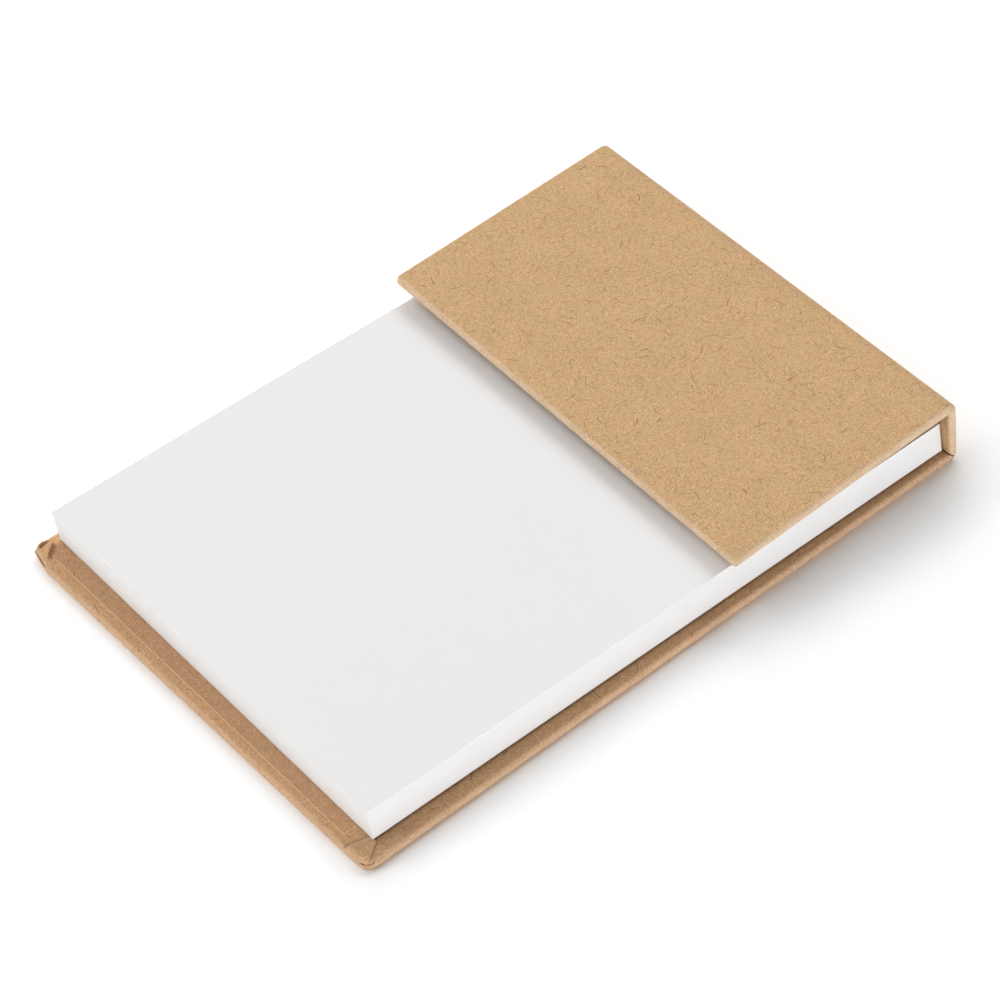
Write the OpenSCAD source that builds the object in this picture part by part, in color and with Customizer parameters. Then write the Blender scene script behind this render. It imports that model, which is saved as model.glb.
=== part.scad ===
// Pocket notepad in a paper-covered hard case. A back board of full size, a narrow
// spine and a short front flap are wrapped in one kraft sheet and lined with another.
// A block of plain sheets lies on the back board, and the flap closes over its bound end.
// X runs from the free end to the spine, Y across the pages, Z up. Z is 0 under the back.

/* [Case] */
// Overall length, from the free end of the back board to the outside of the spine
case_l = 105; // [80:1:150]
// Overall width across the pages
case_w = 70; // [50:1:110]
// Overall height at the top fold, with the flap closed
case_h = 11.8; // [10.5:0.1:20]
// Distance that the flap covers, from its front edge to the top fold
flap_l = 40.5; // [25:0.1:60]

/* [Boards and papers] */
// Thickness of the grey board inside each cover
board_t = 1.2; // [0.8:0.1:2]
// Thickness of the kraft sheet that wraps the boards
wrap_t = 0.18; // [0.12:0.01:0.3]
// Thickness of the kraft lining sheet
liner_t = 0.15; // [0.1:0.01:0.25]
// Width of the wrapping paper that is turned in over the board edges
turn_in = 12; // [6:0.5:20]
// Outside radius of a wrapped board edge
edge_r = 0.5; // [0.35:0.01:0.7]
// Length of the mitred cut across each free corner of the back board
back_corner = 0.8; // [0.5:0.1:3]
// Length of the mitred cut across each front corner of the flap
flap_corner = 0.4; // [0.4:0.1:3]
// Width of the slit where two turned-in edges meet at a corner
mitre_slit = 0.14; // [0.05:0.01:0.4]

/* [Folds] */
// Outside radius of the fold between the back board and the spine
bottom_fold_r = 1.4; // [1:0.1:2]
// Outside radius of the fold between the spine and the flap
top_fold_r = 2; // [1:0.1:2.6]
// Distance from the sharp corner of a fold to the end of each board beside it
board_stop = 2.1; // [1.9:0.1:4]
// Lean of the closed spine towards the pages, in degrees
spine_lean = 6.5; // [0:0.5:11]
// Slope of the closed flap, down to its front edge, in degrees
flap_droop = 1.9; // [0:0.1:3]
// Opening of the crease on the inside of each fold, in degrees to each side
crease_open = 3; // [1:0.5:6]

/* [Lining] */
// Width of the lining across the pages
liner_w = 61.4; // [40:0.2:80]
// Sideways place of the lining, from the middle towards the far side
liner_shift = 1; // [-2:0.1:2]
// Turn of the back lining on its board, in degrees
liner_turn = -0.45; // [-1:0.05:1]
// Distance from the free edge of a cover to the edge of its lining
liner_margin = 1.5; // [1:0.1:6]
// Distance from the sharp corner of a fold to the lining beside it
liner_stop = 2.3; // [2.2:0.1:4]

/* [Pages] */
// Width of a sheet
page_w = 65.8; // [45:0.1:100]
// Thickness of the block of sheets
block_t = 5.4; // [3:0.1:7]
// Margin of back board that shows at the free end
end_margin = 3.8; // [2:0.1:8]
// Gap between the spine lining and the foot of the bound end, which lies parallel to it
spine_gap = 0.15; // [0.1:0.05:1]
// Sideways place of the block, from the middle towards the far side
block_shift = -0.15; // [-1:0.05:1]
// Turn of the block's free end and sides on the back board, in degrees
block_turn = -0.8; // [-1:0.05:1]
// Slip of the top sheet's free end past the bottom sheet. The bound end leans with the spine.
slip_end = 0.4; // [0:0.1:1.5]
// Slip of the top sheet towards the far side
slip_side = 0.45; // [-1:0.05:1]
// Thickness of the glue film that holds the sheets together at the spine
glue_t = 0.2; // [0.1:0.05:0.5]

/* [Hidden] */
$fn = 64;

// Thickness of a wrapped board, and with its lining
cover_t = board_t + 2 * wrap_t;
lined_t = cover_t + liner_t;
// Inside angle between the outer faces on either side of each fold, halved
bottom_half = (90 - spine_lean) / 2;
top_half = (90 + spine_lean - flap_droop) / 2;
// Sharp corner where the outer faces of back and spine would meet
corner_x = case_l / 2 - bottom_fold_r + bottom_fold_r / tan(bottom_half);
// Outer faces of each cover, from sharp corner to free edge or to sharp corner
back_s = case_l / 2 + corner_x;
spine_s = (case_h - top_fold_r + top_fold_r * sin(spine_lean)) / cos(spine_lean)
          + top_fold_r / tan(top_half);
flap_s = flap_l;
// Folds as [outside radius, half angle]
bottom_fold = [bottom_fold_r, bottom_half];
top_fold = [top_fold_r, top_half];
// Small overrun that keeps cutting faces off each other
over = 1;
// Clearance of the sunk part of a lining from the turned-in paper round it
sink_gap = 1;
// Free end of the block, and its bound end just clear of the spine lining's foot
block_x0 = end_margin - case_l / 2;
bound_slip = block_t * tan(spine_lean);
block_y0 = block_shift - page_w / 2;
block_y1 = block_shift + page_w / 2;
block_x1 = corner_x - lined_t / cos(spine_lean) - lined_t * tan(spine_lean) - spine_gap;

kraft = [0.78, 0.63, 0.45];
kraft_inside = [0.70, 0.54, 0.41];
grey_board = [0.62, 0.60, 0.56];
white_paper = [0.94, 0.94, 0.94];
clear_glue = [0.90, 0.89, 0.84];

// Middle of a fold's arc, on the paper's outer face, from the sharp corner
function fold_mid(fold) =
    let (m = fold[0] * (1 / sin(fold[1]) - 1))
    [m * cos(fold[1]), m * sin(fold[1])];

// Half plane on the far side of the crease that parts two covers at a fold
module crease_cut(fold) {
    far = 40;
    translate(fold_mid(fold))
        rotate(fold[1] - crease_open)
            translate([-far, 0])
                square([2 * far, far]);
}

// Side view of a cover, outer face on the axis, shrunk by inset.
// A fold is at the start, and at the end there is a fold or a rounded free edge.
module cover_side(length, start_fold, end_fold, inset) {
    top = cover_t - inset;
    r = edge_r - inset;
    start_s = start_fold[0] / tan(start_fold[1]);
    end_s = is_undef(end_fold) ? length - edge_r : length - end_fold[0] / tan(end_fold[1]);
    difference() {
        intersection() {
            union() {
                translate([start_s, inset])
                    square([end_s - start_s, top - inset]);
                translate([start_s, start_fold[0]])
                    circle(start_fold[0] - inset);
                if (is_undef(end_fold)) {
                    translate([end_s - over, inset + r])
                        square([over + r, top - inset - 2 * r]);
                    for (t = [inset + r, top - r])
                        translate([end_s, t])
                            circle(r);
                } else {
                    translate([end_s, end_fold[0]])
                        circle(end_fold[0] - inset);
                }
            }
            translate([-over, 0])
                square([length + 2 * over, top]);
        }
        crease_cut(start_fold);
        if (!is_undef(end_fold))
            translate([length, 0])
                mirror([1, 0])
                    crease_cut(end_fold);
    }
}

// End view of a cover: a bar with rounded edges, shrunk by inset
module cover_end(inset) {
    r = edge_r - inset;
    half_w = case_w / 2 - inset;
    translate([inset + r, -half_w])
        square([cover_t - 2 * inset - 2 * r, 2 * half_w]);
    translate([inset, r - half_w])
        square([cover_t - 2 * inset, 2 * (half_w - r)]);
    for (t = [inset + r, cover_t - inset - r])
        for (y = [-1, 1])
            translate([t, y * (half_w - r)])
                circle(r);
}

// Plan of a cover with its free corners cut across, shrunk by inset
module cover_plan(length, corner, inset) {
    cut = corner - (2 - sqrt(2)) * inset;
    s = length - inset;
    w = case_w / 2 - inset;
    polygon([[-over, -w], [s - cut, -w], [s, cut - w], [s, w - cut], [s - cut, w], [-over, w]]);
}

// A whole cover, solid, lying on its outer face with its fold at the start
module cover_body(length, start_fold, end_fold, corner, inset) {
    intersection() {
        translate([0, case_w / 2 + over, 0])
            rotate([90, 0, 0])
                linear_extrude(case_w + 2 * over)
                    cover_side(length, start_fold, end_fold, inset);
        translate([length + over, 0, 0])
            rotate([0, -90, 0])
                linear_extrude(length + 2 * over)
                    cover_end(inset);
        translate([0, 0, -over])
            linear_extrude(cover_t + 2 * over)
                if (is_undef(end_fold))
                    cover_plan(length, corner, inset);
                else
                    translate([-over, -case_w / 2])
                        square([length + 2 * over, case_w]);
    }
}

// Grey board that fills a cover between the stops at its folds
module board(length, start_fold, end_fold, corner) {
    stop = is_undef(end_fold) ? length + over : length - board_stop;
    intersection() {
        cover_body(length, start_fold, end_fold, corner, wrap_t);
        translate([board_stop, -case_w, -over])
            cube([stop - board_stop, 2 * case_w, cover_t + 2 * over]);
    }
}

// Slits on the diagonals of the free corners, where two turned-in edges meet
module corner_slits(length, corner) {
    for (y = [-1, 1])
        translate([length - corner / 2, y * (case_w / 2 - corner / 2), cover_t - wrap_t])
            rotate([0, 0, -y * 45])
                translate([-turn_in * sqrt(2) - over, -mitre_slit / 2, 0])
                    cube([turn_in * sqrt(2) + over - edge_r, mitre_slit, wrap_t + over]);
}

// Kraft sheet round a board: outer skin, rounded edges and turned-in margins
module wrap(length, start_fold, end_fold, corner) {
    window_end = is_undef(end_fold) ? length - turn_in : length + 2 * over;
    difference() {
        cover_body(length, start_fold, end_fold, corner, 0);
        cover_body(length, start_fold, end_fold, corner, wrap_t);
        translate([-2 * over, turn_in - case_w / 2, cover_t - 1.5 * wrap_t])
            cube([window_end + 2 * over, case_w - 2 * turn_in, wrap_t + over]);
        if (is_undef(end_fold))
            corner_slits(length, corner);
    }
}

// Kraft lining between two stops. It sinks onto the bare board inside the turned-in paper.
module lining(start, end, sink_start, sink_end) {
    y0 = liner_shift - liner_w / 2;
    sink_y = case_w / 2 - turn_in - sink_gap;
    low = cover_t - wrap_t;
    difference() {
        translate([start, y0, low])
            cube([end - start, liner_w, wrap_t + liner_t]);
        difference() {
            translate([start - over, y0 - over, low - over])
                cube([end - start + 2 * over, liner_w + 2 * over, wrap_t + over]);
            translate([sink_start, -sink_y, low - 2 * over])
                cube([sink_end - sink_start, 2 * sink_y, cover_t + 3 * over]);
        }
        translate([sink_start + liner_t, liner_t - sink_y, low + liner_t])
            cube([sink_end - sink_start - 2 * liner_t, 2 * (sink_y - liner_t), cover_t]);
    }
}

// Places of the three covers, from flat to closed
module on_back() {
    translate([corner_x, 0, 0])
        rotate([0, 0, 180])
            children();
}

module on_spine() {
    translate([corner_x, 0, 0])
        rotate([0, -90 - spine_lean, 0])
            children();
}

module on_flap() {
    translate([corner_x - spine_s * sin(spine_lean), 0, spine_s * cos(spine_lean)])
        rotate([0, 180 - flap_droop, 0])
            children();
}

// Point on a long side of the turned block, at a given place along the case
function side_point(x, y) =
    [x, (y + x * sin(block_turn)) / cos(block_turn)];

// Point on the free end of the turned block
function end_point(y) =
    [block_x0 * cos(block_turn) - y * sin(block_turn),
     block_x0 * sin(block_turn) + y * cos(block_turn)];

// Slanted box from the lining to the top sheet, over two points of its end nearer to
// the free edge and two of its end nearer to the spine, each with that end's slip
module slipped_block(free_points, free_slip, bound_points) {
    low = concat(free_points, bound_points);
    slip = [free_slip, free_slip, bound_slip, bound_slip];
    points = concat([for (p = low) [p[0], p[1], lined_t]],
                    [for (i = [0:3]) [low[i][0] - slip[i], low[i][1] + slip_side, lined_t + block_t]]);
    polyhedron(points, [[0, 1, 2, 3], [7, 6, 5, 4], [4, 5, 1, 0],
                        [5, 6, 2, 1], [6, 7, 3, 2], [7, 4, 0, 3]]);
}

module back_board() {
    color(grey_board)
        on_back()
            board(back_s, bottom_fold, undef, back_corner);
}

module back_wrap() {
    color(kraft)
        on_back()
            wrap(back_s, bottom_fold, undef, back_corner);
}

module back_liner() {
    color(kraft_inside)
        rotate([0, 0, liner_turn])
            on_back()
                mirror([0, 1, 0])
                    lining(liner_stop, back_s - liner_margin,
                           liner_stop + sink_gap, back_s - turn_in - sink_gap);
}

module paper_block() {
    x1 = block_x1 - glue_t;
    color(white_paper)
        slipped_block([end_point(block_y1), end_point(block_y0)], slip_end,
                      [side_point(x1, block_y0), side_point(x1, block_y1)]);
}

module padding_glue() {
    x0 = block_x1 - glue_t;
    color(clear_glue)
        slipped_block([side_point(x0, block_y1), side_point(x0, block_y0)], bound_slip,
                      [side_point(block_x1, block_y0), side_point(block_x1, block_y1)]);
}

module spine_board() {
    color(grey_board)
        on_spine()
            board(spine_s, bottom_fold, top_fold, 0);
}

module spine_wrap() {
    color(kraft)
        on_spine()
            wrap(spine_s, bottom_fold, top_fold, 0);
}

module spine_liner() {
    color(kraft_inside)
        on_spine()
            lining(liner_stop, spine_s - liner_stop,
                   liner_stop - over, spine_s - liner_stop + over);
}

module flap_board() {
    color(grey_board)
        on_flap()
            board(flap_s, top_fold, undef, flap_corner);
}

module flap_wrap() {
    color(kraft)
        on_flap()
            wrap(flap_s, top_fold, undef, flap_corner);
}

module flap_liner() {
    color(kraft_inside)
        on_flap()
            lining(liner_stop, flap_s - liner_margin,
                   liner_stop - over, flap_s - turn_in - sink_gap);
}

back_board();
back_wrap();
back_liner();
paper_block();
padding_glue();
spine_board();
spine_wrap();
spine_liner();
flap_board();
flap_wrap();
flap_liner();
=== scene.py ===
from math import cos, exp, pi, radians, sin, sqrt, tan

import bmesh
import bpy
from mathutils import Matrix, Vector


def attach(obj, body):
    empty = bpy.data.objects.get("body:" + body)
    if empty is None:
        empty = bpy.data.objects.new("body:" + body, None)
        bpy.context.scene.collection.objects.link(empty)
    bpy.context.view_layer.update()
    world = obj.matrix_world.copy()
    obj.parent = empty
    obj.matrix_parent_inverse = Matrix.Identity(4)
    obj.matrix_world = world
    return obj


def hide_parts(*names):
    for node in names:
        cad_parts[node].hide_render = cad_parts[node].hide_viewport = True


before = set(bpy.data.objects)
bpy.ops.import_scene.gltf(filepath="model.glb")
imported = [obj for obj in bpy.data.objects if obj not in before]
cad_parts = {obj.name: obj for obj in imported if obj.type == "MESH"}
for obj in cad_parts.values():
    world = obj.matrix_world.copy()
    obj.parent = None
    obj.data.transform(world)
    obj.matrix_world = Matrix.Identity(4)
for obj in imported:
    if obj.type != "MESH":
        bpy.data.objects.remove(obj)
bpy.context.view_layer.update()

mm = 0.001

# Back cover. A grey board wrapped in one sheet of kraft paper, whose margins are turned
# in over the edges and glued down. It is the board that everything else is fixed to.
case_length = 105 * mm
case_width = 70 * mm
cover_thickness = 1.56 * mm
edge_radius = 0.5 * mm
free_end = -case_length / 2
near_side = -case_width / 2
far_side = case_width / 2
spine_lean = radians(6.5)
flap_droop = radians(1.9)
bottom_corner = Vector((52.6686, 0, 0)) * mm
bottom_radius = 1.4 * mm
top_corner = Vector((51.3173, 0, 11.8601)) * mm
top_radius = 2 * mm
bottom_fold_opening = radians(5)
touching = 1e-6


def add_node(tree, kind, inputs=None, **settings):
    node = tree.nodes.new(kind)
    for name, value in settings.items():
        setattr(node, name, value)
    for name, value in (inputs or {}).items():
        if isinstance(value, bpy.types.NodeSocket):
            tree.links.new(value, node.inputs[name])
        else:
            node.inputs[name].default_value = value
    return node


def math_node(tree, operation, first, second=0.0, clamp=False):
    node = add_node(tree, "ShaderNodeMath", {0: first, 1: second}, operation=operation)
    node.use_clamp = clamp
    return node.outputs[0]


def times(tree, first, second):
    return math_node(tree, "MULTIPLY", first, second)


def plus(tree, first, second, clamp=False):
    return math_node(tree, "ADD", first, second, clamp)


def minus(tree, first, second):
    return math_node(tree, "SUBTRACT", first, second)


def srgb(red, green, blue):
    values = [c / 255 for c in (red, green, blue)]
    return [c / 12.92 if c <= 0.04045 else ((c + 0.055) / 1.055) ** 2.4 for c in values] + [1]


def smooth_step(tree, value, low, high):
    node = add_node(tree, "ShaderNodeMapRange", {"Value": value, "From Min": low, "From Max": high},
                    interpolation_type="SMOOTHSTEP")
    return node.outputs["Result"]


def noise(tree, place, scale, detail):
    node = add_node(tree, "ShaderNodeTexNoise", {"Vector": place, "Scale": scale, "Detail": detail})
    return node.outputs["Fac"]


def moved(tree, place, offset, stretch=(1, 1, 1), turn=0.0):
    node = add_node(tree, "ShaderNodeMapping",
                    {"Vector": place, "Location": offset, "Rotation": (0, 0, turn), "Scale": stretch})
    return node.outputs["Vector"]


def mixed(tree, share, first, second, blend="MIX"):
    node = add_node(tree, "ShaderNodeMix", data_type="RGBA", blend_type=blend)
    sockets = (node.inputs["Factor"], node.inputs[6], node.inputs[7])
    for socket, value in zip(sockets, (share, first, second)):
        if isinstance(value, bpy.types.NodeSocket):
            tree.links.new(value, socket)
        else:
            socket.default_value = value
    return node.outputs[2]


def new_group(name, given, made):
    tree = bpy.data.node_groups.new(name, "ShaderNodeTree")
    for label, kind in given:
        tree.interface.new_socket(name=label, in_out="INPUT", socket_type="NodeSocket" + kind)
    for label, kind in made:
        tree.interface.new_socket(name=label, in_out="OUTPUT", socket_type="NodeSocket" + kind)
    return tree, tree.nodes.new("NodeGroupInput").outputs, tree.nodes.new("NodeGroupOutput").inputs


def build_fibre_group():
    # one short curled fibre in each cell, turned its own way
    tree, given, made = new_group(
        "single_fibres",
        (("Place", "Vector"), ("Cells", "Float"), ("Reach", "Float"), ("Width", "Float"),
         ("Curl", "Float"), ("Share", "Float")),
        (("Mask", "Float"),))
    cell = add_node(tree, "ShaderNodeTexVoronoi", {"Vector": given["Place"], "Scale": given["Cells"]},
                    voronoi_dimensions="2D")
    chance = add_node(tree, "ShaderNodeSeparateColor", {"Color": cell.outputs["Color"]}).outputs
    away = add_node(tree, "ShaderNodeVectorMath", {0: given["Place"], 1: cell.outputs["Position"]},
                    operation="SUBTRACT").outputs[0]
    turned = add_node(tree, "ShaderNodeVectorRotate",
                      {"Vector": away, "Angle": times(tree, chance["Red"], 2 * pi)},
                      rotation_type="Z_AXIS").outputs[0]
    part = add_node(tree, "ShaderNodeSeparateXYZ", {"Vector": turned}).outputs
    bow = times(tree, times(tree, part["X"], part["X"]),
                times(tree, minus(tree, chance["Green"], 0.5), given["Curl"]))
    across = math_node(tree, "ABSOLUTE", minus(tree, part["Y"], bow))
    line = smooth_step(tree, across, given["Width"], 0.0)
    reach = times(tree, given["Reach"], plus(tree, times(tree, chance["Blue"], 0.6), 0.4))
    ends = smooth_step(tree, math_node(tree, "ABSOLUTE", part["X"]), reach, times(tree, reach, 0.6))
    draw = math_node(tree, "FRACT", plus(tree, times(tree, chance["Red"], 13.7),
                                         times(tree, chance["Blue"], 5.1)))
    kept = math_node(tree, "LESS_THAN", draw, given["Share"])
    weight = plus(tree, times(tree, chance["Green"], 0.6), 0.4)
    mask = times(tree, times(tree, line, ends), times(tree, kept, weight))
    tree.links.new(mask, made["Mask"])
    return tree


fibre_group = build_fibre_group()


def fibres(tree, place, offset, turn, cells, reach, width, curl, share):
    node = tree.nodes.new("ShaderNodeGroup")
    node.node_tree = fibre_group
    tree.links.new(moved(tree, place, offset, turn=turn), node.inputs["Place"])
    for name, value in (("Cells", cells), ("Reach", reach), ("Width", width), ("Curl", curl),
                        ("Share", share)):
        node.inputs[name].default_value = value
    return node.outputs["Mask"]


def build_kraft_group():
    # unbleached pulp: even brown grain, with pale and dark fibres and a few bark specks in it
    tree, given, made = new_group(
        "kraft_pulp", (("Place", "Vector"), ("Tone", "Color"), ("Contrast", "Float")),
        (("Colour", "Color"), ("Roughness", "Float"), ("Height", "Float")))
    place = given["Place"]
    grain = noise(tree, moved(tree, place, (0.7, 0.2, 0)), 4600, 1)
    knots = noise(tree, moved(tree, place, (0.3, 0.1, 0)), 1500, 2)
    cloud = noise(tree, moved(tree, place, (0.1, 0.6, 0)), 170, 2)
    level = times(tree, minus(tree, grain, 0.5), 0.95)
    level = plus(tree, level, times(tree, minus(tree, knots, 0.5), 0.25))
    level = plus(tree, level, times(tree, minus(tree, cloud, 0.5), 0.16))
    shade = plus(tree, times(tree, level, given["Contrast"]), 1.0)
    colour = add_node(tree, "ShaderNodeVectorMath", {0: given["Tone"], "Scale": shade},
                      operation="SCALE").outputs[0]
    warmth = smooth_step(tree, noise(tree, moved(tree, place, (0.5, 0.9, 0)), 330, 1), 0.4, 0.6)
    colour = mixed(tree, warmth, mixed(tree, 1.0, colour, (0.985, 1.01, 0.98, 1), "MULTIPLY"),
                   mixed(tree, 1.0, colour, (1.015, 0.99, 0.99, 1), "MULTIPLY"))
    pale = plus(tree, fibres(tree, place, (0.2, 0.3, 0), 0.4, 780, 0.0007, 0.00009, 900, 0.75),
                fibres(tree, place, (0.9, 0.1, 0), 1.3, 1050, 0.0005, 0.00008, 1400, 0.7), True)
    dark = plus(tree, fibres(tree, place, (0.5, 0.8, 0), 0.9, 820, 0.0007, 0.00009, 1100, 0.8),
                fibres(tree, place, (0.4, 0.5, 0), 2.1, 1000, 0.0006, 0.00008, 1500, 0.75), True)
    long = fibres(tree, place, (0.8, 0.2, 0), 0.2, 400, 0.0012, 0.00009, 750, 0.5)
    bold = plus(tree, fibres(tree, place, (0.6, 0.7, 0), 1.7, 215, 0.0012, 0.0001, 800, 0.32),
                fibres(tree, place, (0.3, 0.4, 0), 0.6, 280, 0.0002, 0.00013, 0, 0.3), True)
    for mask, share, tint in ((pale, 0.55, srgb(233, 205, 164)), (dark, 0.56, srgb(150, 107, 66)),
                              (long, 0.72, srgb(138, 94, 56)), (bold, 0.9, srgb(100, 66, 40))):
        strength = times(tree, times(tree, mask, share), given["Contrast"])
        colour = mixed(tree, strength, colour, tint)
    tree.links.new(colour, made["Colour"])
    tree.links.new(plus(tree, times(tree, grain, 0.16), 0.74), made["Roughness"])
    height = plus(tree, times(tree, grain, 0.8), times(tree, pale, 0.4))
    tree.links.new(minus(tree, height, times(tree, long, 0.3)), made["Height"])
    return tree


kraft_group = build_kraft_group()
pulp_relief = 0.03 * mm


def kraft_material(name, tone, contrast=1.0, on_sheet=True, rim_paling_strength=1.0):
    # on_sheet follows the sheet round its folds, pales its rims, part wear and part painted
    # highlight, and lays painted shade where marked; else the paper is read in plan and its
    # upright cut edges show pale, part pale cut fibres and part painted highlight
    material = bpy.data.materials.new(name)
    material.use_nodes = True
    tree = material.node_tree
    shader = tree.nodes["Principled BSDF"]
    if on_sheet:
        place = add_node(tree, "ShaderNodeUVMap", uv_map="sheet").outputs["UV"]
    else:
        place = tree.nodes.new("ShaderNodeTexCoord").outputs["Object"]
    pulp = tree.nodes.new("ShaderNodeGroup")
    pulp.node_tree = kraft_group
    tree.links.new(place, pulp.inputs["Place"])
    pulp.inputs["Tone"].default_value = tone
    pulp.inputs["Contrast"].default_value = contrast
    colour = pulp.outputs["Colour"]
    if on_sheet:
        # rims and marked places pale towards cream: part wear, part painted highlight
        wear_and_highlight = add_node(tree, "ShaderNodeAttribute", attribute_name="rim").outputs["Fac"]
        patchy = smooth_step(tree, noise(tree, moved(tree, place, (0.2, 0.4, 0)), 520, 2), 0.3, 0.65)
        share = times(tree, math_node(tree, "POWER", wear_and_highlight, 2.0),
                      plus(tree, times(tree, patchy, 0.2 * rim_paling_strength), 0.2 * rim_paling_strength))
        colour = mixed(tree, share, colour, srgb(234, 216, 200))
        # painted shade: slits, hollows and the feet of creases darkened towards dark brown
        painted_shade = add_node(tree, "ShaderNodeAttribute", attribute_name="painted_shade").outputs["Fac"]
        colour = mixed(tree, painted_shade, colour, srgb(92, 62, 42))
    else:
        # upright faces pale: part pale cut fibres, part painted highlight on lit cut edges
        normal = tree.nodes.new("ShaderNodeNewGeometry").outputs["True Normal"]
        facing = add_node(tree, "ShaderNodeSeparateXYZ", {"Vector": normal}).outputs["Z"]
        edge = math_node(tree, "LESS_THAN", math_node(tree, "ABSOLUTE", facing), 0.5)
        colour = mixed(tree, edge, colour, srgb(244, 222, 192))
    tree.links.new(colour, shader.inputs["Base Color"])
    tree.links.new(pulp.outputs["Roughness"], shader.inputs["Roughness"])
    bump = add_node(tree, "ShaderNodeBump",
                    {"Strength": 0.3, "Distance": pulp_relief, "Height": pulp.outputs["Height"]})
    tree.links.new(bump.outputs["Normal"], shader.inputs["Normal"])
    shader.inputs["Specular IOR Level"].default_value = 0.2
    return material


kraft = kraft_material("kraft_paper", srgb(205, 168, 125), 1.1)
# the back's kraft is darker and redder than the rest of the same sheet, partly painted shade for its
# turned-in strips beside the block
kraft_back = kraft_material("kraft_paper_back", srgb(202, 159, 119), 1.05, rim_paling_strength=0.5)


def add_block(name, low, high):
    bpy.ops.object.select_all(action="DESELECT")
    middle = [(a + b) / 2 for a, b in zip(low, high)]
    bpy.ops.mesh.primitive_cube_add(size=1, location=middle, scale=[b - a for a, b in zip(low, high)])
    piece = bpy.context.object
    piece.name = piece.data.name = name
    bpy.ops.object.transform_apply(location=True, rotation=True, scale=True)
    return piece


def pick(piece):
    bpy.ops.object.select_all(action="DESELECT")
    bpy.context.view_layer.objects.active = piece
    piece.select_set(True)


def start_editing(piece):
    pick(piece)
    bpy.ops.object.mode_set(mode="EDIT")
    bpy.ops.mesh.select_mode(type="EDGE")


def stop_editing():
    bpy.ops.object.mode_set(mode="OBJECT")


def cut_off(place, away):
    bpy.ops.mesh.select_all(action="SELECT")
    bpy.ops.mesh.bisect(plane_co=place, plane_no=away, clear_outer=True, use_fill=True)


def score(axis, at):
    bpy.ops.mesh.select_all(action="SELECT")
    bpy.ops.mesh.bisect(plane_co=[at if i == axis else 0 for i in range(3)],
                        plane_no=[1 if i == axis else 0 for i in range(3)])


def score_grid(low, high, step):
    for axis in range(len(low)):
        count = round((high[axis] - low[axis]) / step)
        for i in range(1, count):
            score(axis, low[axis] + (high[axis] - low[axis]) * i / count)


def round_edges(piece, wanted, radius, steps):
    bpy.ops.mesh.select_all(action="DESELECT")
    for edge in bmesh.from_edit_mesh(piece.data).edges:
        edge.select_set(wanted(edge))
    bpy.ops.mesh.bevel(offset=radius, offset_type="OFFSET", segments=steps, profile=0.5, affect="EDGES")


def press_groove(piece, at, depth):
    # the wrapping sinks a little beside the end of a board
    for side in (-0.3, 0, 0.3):
        score(0, at + side * mm)
    shape = bmesh.from_edit_mesh(piece.data)
    for vert in shape.verts:
        if abs(vert.co.x - at) < touching and vert.co.z < 0.2 * mm:
            vert.co.z += depth
    bmesh.update_edit_mesh(piece.data)


def open_fold(piece, radius, half, at, way):
    cut_off((at, 0, 0), (-way * sin(2 * half), 0, cos(2 * half)))

    def on_fold(edge):
        return all(abs(vert.co.x - at) < touching and abs(vert.co.z) < touching for vert in edge.verts)

    round_edges(piece, on_fold, radius / tan(half), 12)
    hold_in_arc(piece, radius, half, at, way)


def hold_in_arc(piece, radius, half, at, way):
    # bevels run a little wide of the true arc and of the outer face
    middle = Vector((at + way * radius / tan(half), 0, radius))
    shape = bmesh.from_edit_mesh(piece.data)
    for vert in shape.verts:
        step = Vector((vert.co.x - middle.x, 0, vert.co.z - middle.z))
        if way * step.x < 0 and step.length > radius:
            step = step.normalized() * radius
            vert.co.x, vert.co.z = middle.x + step.x, middle.z + step.z
        vert.co.z = max(0, vert.co.z)
    bmesh.update_edit_mesh(piece.data)


def mitre_fold(radius, half, opening, at, way):
    reach = radius * (1 / sin(half) - 1)
    lean = half - opening
    cut_off((at + way * reach * cos(half), 0, reach * sin(half)), (-way * sin(lean), 0, cos(lean)))


def lay_sheet(piece, rim_of):
    # flat places of the paper for its pulp, and how far each point lies round a folded rim
    shape = bmesh.new()
    shape.from_mesh(piece.data)
    places = shape.loops.layers.uv.new("sheet")
    rims = shape.verts.layers.float.new("rim")
    for face in shape.faces:
        x, y, z = [abs(part) for part in face.normal]
        for loop in face.loops:
            spot = loop.vert.co
            if z > 0.6:
                loop[places].uv = (spot.x, spot.y)
            elif x > y:
                loop[places].uv = (spot.z, spot.y)
            else:
                loop[places].uv = (spot.x, spot.y + (spot.z if face.normal.y > 0 else -spot.z))
    for vert in shape.verts:
        vert[rims] = rim_of(vert.co)
    shape.to_mesh(piece.data)
    shape.free()


def make_cover(name, length, folds, corner_cuts=()):
    # a wrapped board lying on its outer face, with its folds square across it at x = 0 and length
    open_end = len(folds) == 1
    piece = add_block(name, (-1.5 * mm, near_side, 0),
                      (length + (0 if open_end else 1.5 * mm), far_side, cover_thickness))
    start_editing(piece)
    for radius, half, opening, at, way in folds:
        open_fold(piece, radius, half, at, way)
    for place, away in corner_cuts:
        cut_off((*place, 0), (*away, 0))
    cut_from = min([length] + [place[0] for place, away in corner_cuts]) - 0.01 * mm

    def on_rim(edge):
        if open_end and all(vert.co.x > cut_from for vert in edge.verts):
            return True
        return all(abs(vert.co.y) > far_side - 0.001 * mm for vert in edge.verts)

    round_edges(piece, on_rim, edge_radius, 4)
    for radius, half, opening, at, way in folds:
        hold_in_arc(piece, radius, half, at, way)
        mitre_fold(radius, half, opening, at, way)
        press_groove(piece, at + way * (radius / tan(half) + 0.3 * mm), 0.05 * mm)
        hold_in_arc(piece, radius, half, at, way)
    return piece


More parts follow.
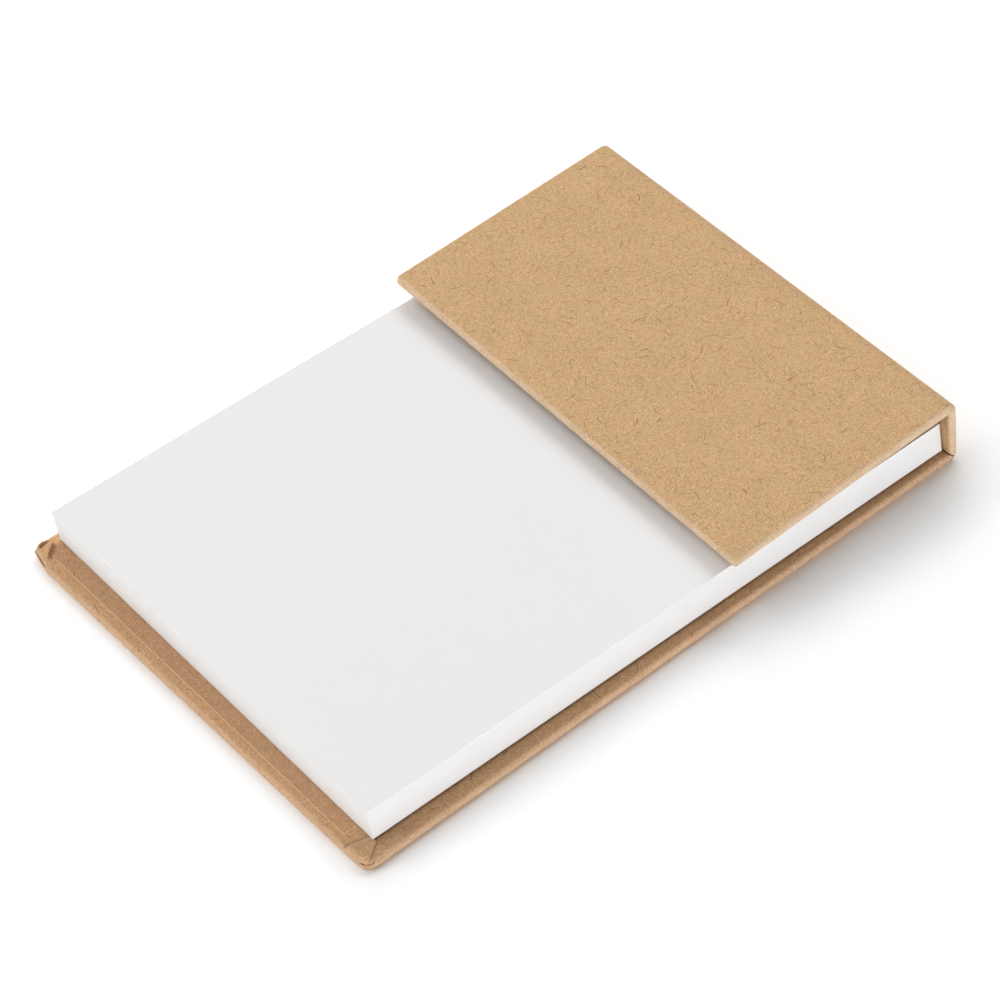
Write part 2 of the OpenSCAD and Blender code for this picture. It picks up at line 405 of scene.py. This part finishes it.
def round_rim(length, open_end):
    def share(spot):
        inward = far_side - abs(spot.y)
        if open_end:
            inward = min(inward, length - spot.x)
        return max(0, min(1, (edge_radius - inward) / (0.7 * edge_radius)))
    return share


def put(piece, place, turn):
    pick(piece)
    piece.location = place
    piece.rotation_euler = turn
    bpy.ops.object.transform_apply(location=True, rotation=True, scale=True)


def finish_shading(piece, angle=35):
    pick(piece)
    bpy.ops.object.shade_smooth_by_angle(angle=radians(angle))
    bpy.ops.object.modifier_add(type="WEIGHTED_NORMAL")
    piece.modifiers[-1].keep_sharp = True
    bpy.ops.object.modifier_apply(modifier=piece.modifiers[-1].name)


back_length = bottom_corner.x - free_end
bottom_half = (radians(90) - spine_lean) / 2
top_half = (radians(90) + spine_lean - flap_droop) / 2
# where the two free corners are trimmed, as lines in plan in millimetres
near_cuts = (((-50.9, -35.0), (-51.7, -34.74)), ((-51.7, -34.74), (-52.22, -34.25)),
             ((-52.22, -34.25), (-52.5, -33.5)))
far_cuts = (((-50.6, 35.0), (-51.75, 34.5)), ((-51.75, 34.5), (-52.5, 31.2)))


def corner_cut(first, second):
    # a line between two places of the case, read on the flat cover as it lies on its face
    start, end = (Vector((bottom_corner.x - p[0] * mm, -p[1] * mm)) for p in (first, second))
    away = Vector((end.y - start.y, start.x - end.x)).normalized()
    if away.dot(start) < 0:
        away = -away
    return start, away


back_cover = make_cover("back_cover", back_length,
                        [(bottom_radius, bottom_half, bottom_fold_opening, 0, 1)],
                        [corner_cut(*line) for line in near_cuts + far_cuts])
score_grid((2 * mm, near_side), (back_length, far_side), 8 * mm)
stop_editing()
lay_sheet(back_cover, round_rim(back_length, True))
put(back_cover, bottom_corner, (0, 0, radians(180)))
finish_shading(back_cover)
back_cover.data.materials.append(kraft_back)
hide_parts("back_wrap")
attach(back_cover, "back")

# Turned-in corner, near side. The end margin of the wrapping is folded in last, and its
# corner is tucked over the side margin, where it ends in a curved edge with a short slit.
# The slit and a line outside the curved edge carry painted shade. The tab is paled, part wear
# and part painted light, with a painted highlight inside the curved edge.
tab_lines = (((-52.7, -30.62), (-49.2, -31.7)), ((-48.9, -31.0), (-48.9, -33.0)),
             ((-48.9, -32.6), (-49.6, -33.38)), ((-49.6, -33.38), (-50.4, -33.9)),
             ((-50.4, -33.9), (-51.3, -34.25)), ((-51.3, -34.25), (-52.1, -34.75)))
tab_slit = (Vector((-52.55, -30.66)), Vector((-51.25, -31.08)))


def soft(value, low, high):
    t = max(0, min(1, (value - low) / (high - low)))
    return t * t * (3 - 2 * t)


def line_cut(first, second, middle):
    # cuts along a line in plan, and keeps the side with the given middle
    first, second, middle = Vector(first), Vector(second), Vector(middle)
    away = Vector((second.y - first.y, first.x - second.x)).normalized()
    if away.dot(middle - first) > 0:
        away = -away
    return (first.x * mm, first.y * mm, 0), (away.x, away.y, 0)


def depth_in(spot, lines, middle):
    # how far a place lies inside an outline
    cuts = [line_cut(*line, middle) for line in lines]
    return min((place[0] / mm - spot.x) * away[0] + (place[1] / mm - spot.y) * away[1]
               for place, away in cuts)


def beside(spot, line):
    # place along a line, from 0 to 1, and distance to its left
    span = line[1] - line[0]
    step = spot - line[0]
    return step.dot(span) / span.length_squared, (span.x * step.y - span.y * step.x) / span.length


layer_step = 0.08
layer_thickness = 0.1 * mm
layer_base = cover_thickness / mm + 0.01


def corner_layer(name, low, high, cuts, shape):
    # a second layer of paper over a corner of the back. shape gives, for a place in plan, its
    # height, its paling (wear and painted highlight) and its painted shade
    bpy.ops.object.select_all(action="DESELECT")
    across, along = high[0] - low[0], high[1] - low[1]
    bpy.ops.mesh.primitive_grid_add(
        x_subdivisions=round(across / layer_step), y_subdivisions=round(along / layer_step), size=1,
        location=((low[0] + high[0]) / 2 * mm, (low[1] + high[1]) / 2 * mm, 0))
    piece = bpy.context.object
    piece.name = piece.data.name = name
    piece.scale = (across * mm, along * mm, 1)
    bpy.ops.object.transform_apply(location=True, rotation=True, scale=True)
    looks = {}
    for vert in piece.data.vertices:
        spot = Vector((vert.co.x / mm, vert.co.y / mm))
        inward = max(0.001, min(far_side / mm - abs(spot.y), spot.x - free_end / mm,
                                depth_in(spot, cuts, (0, 0))))
        border = min([abs(spot[i] - end[i]) for end in (low, high) for i in range(2)])
        height, wear_and_highlight, painted_shade = shape(spot)
        drop = 0 if inward > 0.5 else 0.5 - sqrt(0.25 - (0.5 - inward) ** 2)
        raised = height * soft(border, 0, 0.4) * soft(inward, 0.05, 0.55)
        vert.co.z = (layer_base + raised - drop) * mm
        looks[vert.index] = (max(wear_and_highlight, soft(inward, 0.5, 0.15)), painted_shade)
    layer = piece.modifiers.new("paper", "SOLIDIFY")
    layer.thickness = layer_thickness
    pick(piece)
    bpy.ops.object.modifier_apply(modifier="paper")
    lay_sheet(piece, lambda spot: 0)
    # the thickened copy keeps the order of the grid, first its top and then its underside
    for label, part in (("rim", 0), ("painted_shade", 1)):
        values = piece.data.attributes.get(label) or piece.data.attributes.new(label, "FLOAT", "POINT")
        for index in range(len(piece.data.vertices)):
            values.data[index].value = looks[index % len(looks)][part]
    start_editing(piece)
    for line in cuts:
        cut_off(*line_cut(*line, (0, 0)))
    stop_editing()
    piece.data.materials.append(kraft_back)
    finish_shading(piece, 60)
    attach(piece, "back")


def tab_shape(spot):
    inside = depth_in(spot, tab_lines, (-51.5, -32.5))
    seam = soft(spot.x, -51.6, -50.8)
    along, left = beside(spot, tab_slit)
    # the slit dips the layer and is darkened with painted shade
    slit = exp(-(left / 0.09) ** 2) * soft(along, -0.1, 0.1) * (1 - soft(along, 0.85, 1.05))
    height = 0.2 * soft(inside, -0.04, 0.12) + 0.12 * soft(inside, 0, 1.2)
    # paler tab, part wear and part painted light, and a painted highlight inside the curved edge
    wear_and_highlight = 0.5 * soft(inside, 0, 0.2) + 0.5 * seam * exp(-((inside - 0.08) / 0.1) ** 2)
    # painted shade in the slit, and a painted shadow just outside the curved edge
    painted_shade = max(0.85 * slit, 0.5 * seam * exp(-((inside + 0.12) / 0.1) ** 2))
    return height * (1 - 0.7 * slit), wear_and_highlight, painted_shade


corner_layer("tucked_tab", (-52.45, -34.93), (-48.3, -30.1), near_cuts, tab_shape)

# Turned-in corner, far side. Here the same margin is creased into a small raised pleat
# with a hollow behind it. Its steep side and the hollow are darkened with painted shade,
# and its gentle slope is paled with a painted highlight.
crest = (Vector((-49.6, 33.4)), Vector((-51.5, 32.0)))
hollow = (Vector((-49.7, 34.3)), Vector((-51.4, 33.75)))


def pleat_shape(spot):
    along, left = beside(spot, crest)
    reach = soft(along, -0.25, 0.1) * (1 - soft(along, 0.75, 1.3))
    # the crest falls steeply on one side, and slowly on the other
    rise = 0.75 * exp(-(left / 1.0) ** 2) if left < 0 else 0.75 * (1 - soft(left, 0.02, 0.35))
    # painted shade at the foot of the steep side
    foot = soft(left, 0, 0.15) * (1 - soft(left, 0.35, 0.95)) * reach
    # the layers bunched in the corner lift its tip
    tip = 0.8 * exp(-((spot - Vector((-51.4, 34.2))).length / 1.7) ** 2)
    along, left = beside(spot, hollow)
    # the hollow dips the layer and is darkened with painted shade
    pit = exp(-(left / 0.2) ** 2) * soft(along, -0.2, 0.1) * (1 - soft(along, 0.8, 1.2))
    # painted highlight on the lit gentle slope
    wear_and_highlight = 0.3 * exp(-((left + 0.5) / 0.4) ** 2)
    return max(rise * reach, tip) * (1 - 0.7 * pit), wear_and_highlight, max(0.55 * foot, 0.6 * pit)


corner_layer("creased_pleat", (-52.45, 30.6), (-48.0, 34.93), far_cuts, pleat_shape)

# Board of the back. Grey board cut from recycled pulp, hidden inside its wrapping.
grey_board = bpy.data.materials.new("grey_board")
grey_board.use_nodes = True
tree = grey_board.node_tree
pulp = noise(tree, tree.nodes.new("ShaderNodeTexCoord").outputs["Object"], 1500, 4)
tree.links.new(mixed(tree, pulp, srgb(150, 145, 136), srgb(176, 171, 160)),
               tree.nodes["Principled BSDF"].inputs["Base Color"])
tree.nodes["Principled BSDF"].inputs["Roughness"].default_value = 0.9


def dress(node, material):
    slots = bpy.data.objects[node].data.materials
    slots.clear()
    slots.append(material)


def loose_copy(node, name):
    # a copy of a square solid with its points joined, for cutting and bending
    given = bpy.data.objects[node]
    piece = given.copy()
    piece.data = given.data.copy()
    piece.name = piece.data.name = name
    bpy.context.scene.collection.objects.link(piece)
    piece.parent = None
    start_editing(piece)
    bpy.ops.mesh.select_all(action="SELECT")
    bpy.ops.mesh.remove_doubles(threshold=0.000001)
    stop_editing()
    piece.data.materials.clear()
    return piece


# the board ends inside the trimmed corners of its wrapping
board_inset = 0.3 * mm
back_plate = loose_copy("back_board", "back_plate")
start_editing(back_plate)
for first, second in near_cuts + far_cuts:
    place, away = line_cut(first, second, (0, 0))
    cut_off([a - board_inset * b for a, b in zip(place, away)], away)
stop_editing()
back_plate.data.materials.append(grey_board)
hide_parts("back_board")
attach(back_plate, "back")

# Lining of the back. A kraft sheet glued over the inside of the board and over the
# turned-in margins. Its cut edges show as fine pale lines, part pale cut fibres and part painted
# highlight.
# the lining's kraft is darker than the covers', partly painted shade beside the block
dress("back_liner", kraft_material("kraft_lining_plan", srgb(190, 149, 113), 0.9, False))

# Block of plain sheets. White uncoated paper, cut square and held at the spine end by a
# film of glue. The sheets lie loose at the free end, so the top ones have slipped a little.
block_bottom = 1.71 * mm
block_top = 7.11 * mm
block_ends = (-49 * mm, 50.4 * mm)
block_sides = (-33 * mm, 33 * mm)
block_corners = {"free_near": (-49.19, -32.37), "free_far": (-48.27, 33.43),
                 "bound_near": (50.46, -33.77), "bound_far": (50.46, 32.05)}
block_slip = {"free": (-0.4, 0.45), "bound": (-0.62, 0.45)}
white = bpy.data.materials.new("white_paper")
white.use_nodes = True
tree = white.node_tree
shader = tree.nodes["Principled BSDF"]
where = tree.nodes.new("ShaderNodeTexCoord").outputs["Object"]
sheets = noise(tree, moved(tree, where, (0.2, 0, 0), (0.02, 0.02, 1)), 9000, 2)
normal = tree.nodes.new("ShaderNodeNewGeometry").outputs["True Normal"]
facing = add_node(tree, "ShaderNodeSeparateXYZ", {"Vector": normal}).outputs["Z"]
on_side = smooth_step(tree, math_node(tree, "ABSOLUTE", facing), 0.6, 0.3)
edge_tone = mixed(tree, sheets, srgb(232, 232, 232), srgb(243, 243, 243))
tree.links.new(mixed(tree, on_side, srgb(238, 238, 238), edge_tone), shader.inputs["Base Color"])
relief = plus(tree, times(tree, noise(tree, where, 2500, 3), 0.25), times(tree, sheets, on_side))
bump = add_node(tree, "ShaderNodeBump", {"Strength": 0.2, "Distance": pulp_relief, "Height": relief})
tree.links.new(bump.outputs["Normal"], shader.inputs["Normal"])
shader.inputs["Roughness"].default_value = 0.75
shader.inputs["Specular IOR Level"].default_value = 0.15


def add_cage(low, high, counts):
    bpy.ops.object.select_all(action="DESELECT")
    bpy.ops.object.add(type="LATTICE", location=[(a + b) / 2 for a, b in zip(low, high)])
    cage = bpy.context.object
    cage.scale = [b - a for a, b in zip(low, high)]
    grid = cage.data
    grid.points_u, grid.points_v, grid.points_w = counts
    grid.interpolation_type_u = grid.interpolation_type_v = grid.interpolation_type_w = "KEY_LINEAR"
    bpy.context.view_layer.update()
    return cage


def shape_cage(cage, shift):
    # shift gives how far a point of the cage moves, from its place in metres
    size = cage.scale
    for point in cage.data.points:
        place = Vector([point.co[i] * size[i] + cage.location[i] for i in range(3)])
        step = shift(place)
        point.co_deform = [point.co[i] + step[i] / size[i] for i in range(3)]


def bend_to(piece, cage):
    piece.modifiers.new("bend", "LATTICE").object = cage
    pick(piece)
    bpy.ops.object.modifier_apply(modifier="bend")


def between(corners, u, v):
    # a value inside four corners, in the order near start, far start, near end, far end
    shares = ((1 - u) * (1 - v), (1 - u) * v, u * (1 - v), u * v)
    parts = (Vector(corner) * share for corner, share in zip(corners, shares))
    return sum(parts, Vector((0,) * len(corners[0])))


def block_shift(place):
    u = (place.x - block_ends[0]) / (block_ends[1] - block_ends[0])
    v = (place.y - block_sides[0]) / (block_sides[1] - block_sides[0])
    w = (place.z - block_bottom) / (block_top - block_bottom)
    low = between([block_corners[n] for n in ("free_near", "free_far", "bound_near", "bound_far")], u, v)
    slip = Vector(block_slip["free"]).lerp(Vector(block_slip["bound"]), u)
    # the top sheets rise a little in the middle, and sink towards the flap on the far side
    crown = 0.12 * 16 * u * (1 - u) * v * (1 - v) * w
    sink = -0.35 * v * soft(u, 0.3, 0.7) * w
    # the lowest sheets curl up a little at their edges
    curl = 0.1 * (1 - w) * max(1 - soft(u, 0, 0.05), 1 - soft(v, 0, 0.08), soft(v, 0.92, 1))
    x, y = (low + slip * w) * mm
    return Vector((x - place.x, y - place.y, (crown + sink + curl) * mm))


block_low = (block_ends[0], block_sides[0], block_bottom)
block_high = (block_ends[1], block_sides[1], block_top)
paper_block = add_block("sheet_block", block_low, block_high)
start_editing(paper_block)
score_grid(block_low, block_high, 3.3 * mm)
stop_editing()
cage = add_cage(block_low, block_high, (21, 13, 2))
shape_cage(cage, block_shift)
bend_to(paper_block, cage)
bpy.data.objects.remove(cage)
finish_shading(paper_block, 40)
paper_block.data.materials.append(white)
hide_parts("paper_block")
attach(paper_block, "back")

# Padding glue. A thin film brushed over the bound end of the block, which holds the sheets
# together and lets each one tear off.
glue = bpy.data.materials.new("padding_glue")
glue.use_nodes = True
tree = glue.node_tree
shader = tree.nodes["Principled BSDF"]
where = tree.nodes.new("ShaderNodeTexCoord").outputs["Object"]
brushed = noise(tree, moved(tree, where, (0, 0, 0), (1, 1, 4)), 500, 3)
tree.links.new(mixed(tree, brushed, srgb(214, 212, 204), srgb(232, 230, 224)), shader.inputs["Base Color"])
tree.links.new(plus(tree, times(tree, brushed, 0.2), 0.35), shader.inputs["Roughness"])
dress("padding_glue", glue)

# Spine. A narrow strip of board in the same wrapping sheet. It leans in over the bound end,
# more at the near end than at the far end.
spine_length = (top_corner - bottom_corner).length
flap_length = 40.5 * mm
# how far the top fold and the flap's front edge lie from square, near and far ends
case_shifts = [(-0.15, 0.08, 0.08), (0.54, 0.0, -0.32), (-0.76, 0.45, -0.25), (1.16, 0.0, -0.10)]


def case_shift(place):
    u = min(1.3, max(0, (top_corner.x - place.x) / flap_length))
    lift = max(0, (place.z - 2 * mm) / (9.8 * mm))
    return between(case_shifts, u, (place.y - near_side) / case_width) * lift * mm


spine_cover = make_cover("spine_cover", spine_length,
                         [(bottom_radius, bottom_half, bottom_fold_opening, 0, 1),
                          (top_radius, top_half, 0, spine_length, -1)])
score_grid((0, near_side), (spine_length, far_side), 4 * mm)
stop_editing()
lay_sheet(spine_cover, round_rim(spine_length, False))
put(spine_cover, bottom_corner, (0, radians(-90) - spine_lean, 0))
cage = add_cage((9 * mm, near_side, 0), (54 * mm, far_side, 12 * mm), (2, 2, 7))
shape_cage(cage, case_shift)
bend_to(spine_cover, cage)
finish_shading(spine_cover)
spine_cover.data.materials.append(kraft)
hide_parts("spine_wrap")
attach(spine_cover, "spine")

# the same darker lining kraft, partly painted shade
kraft_inside = kraft_material("kraft_lining", srgb(190, 149, 113), 0.9)


bend_step = 6 * mm
lining_rise = 0.14 * mm


def bent_copy(node, name, material, lift=None):
    # a board or lining that follows its cover, made from the square solid. lift gives the outer
    # face of the cover, and brings the low middle of a lining up to its turned-in margins
    piece = loose_copy(node, name)
    if lift:
        place, out = lift
        for vert in piece.data.vertices:
            if (place - vert.co).dot(out) < cover_thickness - 0.01 * mm:
                vert.co -= out * lining_rise
    start_editing(piece)
    low, high = (Vector([f(v.co[i] for v in bmesh.from_edit_mesh(piece.data).verts) for i in range(3)])
                 for f in (min, max))
    score_grid(low[:2], high[:2], bend_step)
    stop_editing()
    lay_sheet(piece, lambda spot: 0)
    bend_to(piece, cage)
    piece.data.materials.append(material)
    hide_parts(node)
    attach(piece, node.split("_")[0])


bent_copy("spine_board", "spine_strip", grey_board)
bent_copy("spine_liner", "spine_lining", kraft_inside,
          lift=(bottom_corner, Vector((cos(spine_lean), 0, sin(spine_lean)))))

# Flap. A short front cover on the same wrapping sheet, folded down over the bound end. It
# was cut and folded slightly out of square, so its near side is longer.
flap_cover = make_cover("flap_cover", flap_length, [(top_radius, top_half, 0, 0, 1)])
score_grid((2 * mm, near_side), (flap_length, far_side), 6 * mm)
stop_editing()
lay_sheet(flap_cover, round_rim(flap_length, True))
put(flap_cover, top_corner, (0, radians(180) - flap_droop, 0))
bend_to(flap_cover, cage)
finish_shading(flap_cover)
flap_cover.data.materials.append(kraft)
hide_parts("flap_wrap")
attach(flap_cover, "flap")
bent_copy("flap_board", "flap_strip", grey_board)
bent_copy("flap_liner", "flap_lining", kraft_inside,
          lift=(top_corner, Vector((-sin(flap_droop), 0, cos(flap_droop)))))
bpy.data.objects.remove(cage)

# Table, lamps and camera. A plain white table under soft lamps, most of the light from
# above and behind, with low pale cards in front that fill the near sides.
bpy.ops.object.select_all(action="DESELECT")
bpy.ops.mesh.primitive_plane_add(size=12, location=(0, 0, 0))
table = bpy.context.object
table.name = table.data.name = "white_table"
laminate = bpy.data.materials.new("white_table")
laminate.use_nodes = True
tree = laminate.node_tree
shader = tree.nodes["Principled BSDF"]
seen = tree.nodes.new("ShaderNodeLightPath").outputs["Is Camera Ray"]
table_colour = mixed(tree, seen, (0.95, 0.95, 0.95, 1), (1.085, 1.1, 1.11, 1))
tree.links.new(table_colour, shader.inputs["Base Color"])
shader.inputs["Roughness"].default_value = 1
shader.inputs["Specular IOR Level"].default_value = 0
table.data.materials.append(laminate)

scene = bpy.context.scene
world = bpy.data.worlds.new("studio_air")
world.use_nodes = True
tree = world.node_tree
seen = tree.nodes.new("ShaderNodeLightPath").outputs["Is Camera Ray"]
tree.nodes["Background"].inputs["Color"].default_value = (1, 1, 1, 1)
tree.links.new(plus(tree, times(tree, seen, 0.97), 0.03), tree.nodes["Background"].inputs["Strength"])
scene.world = world
lamp_distance = 3
for name, around, up, width, watts in (
        ("rear_left_lamp", 135, 55, 0.8, 3.7), ("rear_right_lamp", 45, 41, 0.8, 4.45),
        ("rear_lamp", 90, 41, 0.8, 2.6), ("right_lamp", 10, 54, 0.45, 1.7),
        ("left_card", 150, 15, 0.45, 2.65), ("front_left_card", 225, 6, 0.22, 2.8),
        ("front_card", 270, 6, 0.22, 3.9), ("front_right_card", 315, 6, 0.22, 0.8)):
    lamp = bpy.data.lights.new(name, "AREA")
    lamp.shape = "DISK"
    lamp.size = width * lamp_distance
    lamp.energy = watts * lamp_distance ** 2
    holder = bpy.data.objects.new(name, lamp)
    around, up = radians(around), radians(up)
    way = Vector((cos(around) * cos(up), sin(around) * cos(up), sin(up)))
    holder.location = way * lamp_distance
    holder.rotation_euler = (-way).to_track_quat("-Z", "Y").to_euler()
    scene.collection.objects.link(holder)

view = bpy.data.cameras.new("photo_view")
view.sensor_width = 36
view.lens = 125.54
view.shift_x = -0.06127
view.shift_y = -0.01647
view.clip_start = 0.01
camera = bpy.data.objects.new("photo_view", view)
camera.matrix_world = (Matrix.Translation((-0.20491624, -0.23969986, 0.34883616))
                       @ Matrix.Rotation(radians(-42.048), 4, "Z")
                       @ Matrix.Rotation(radians(90 - 47.513), 4, "X")
                       @ Matrix.Rotation(radians(0.038), 4, "Z"))
scene.collection.objects.link(camera)
scene.camera = camera
scene.view_settings.view_transform = "Standard"
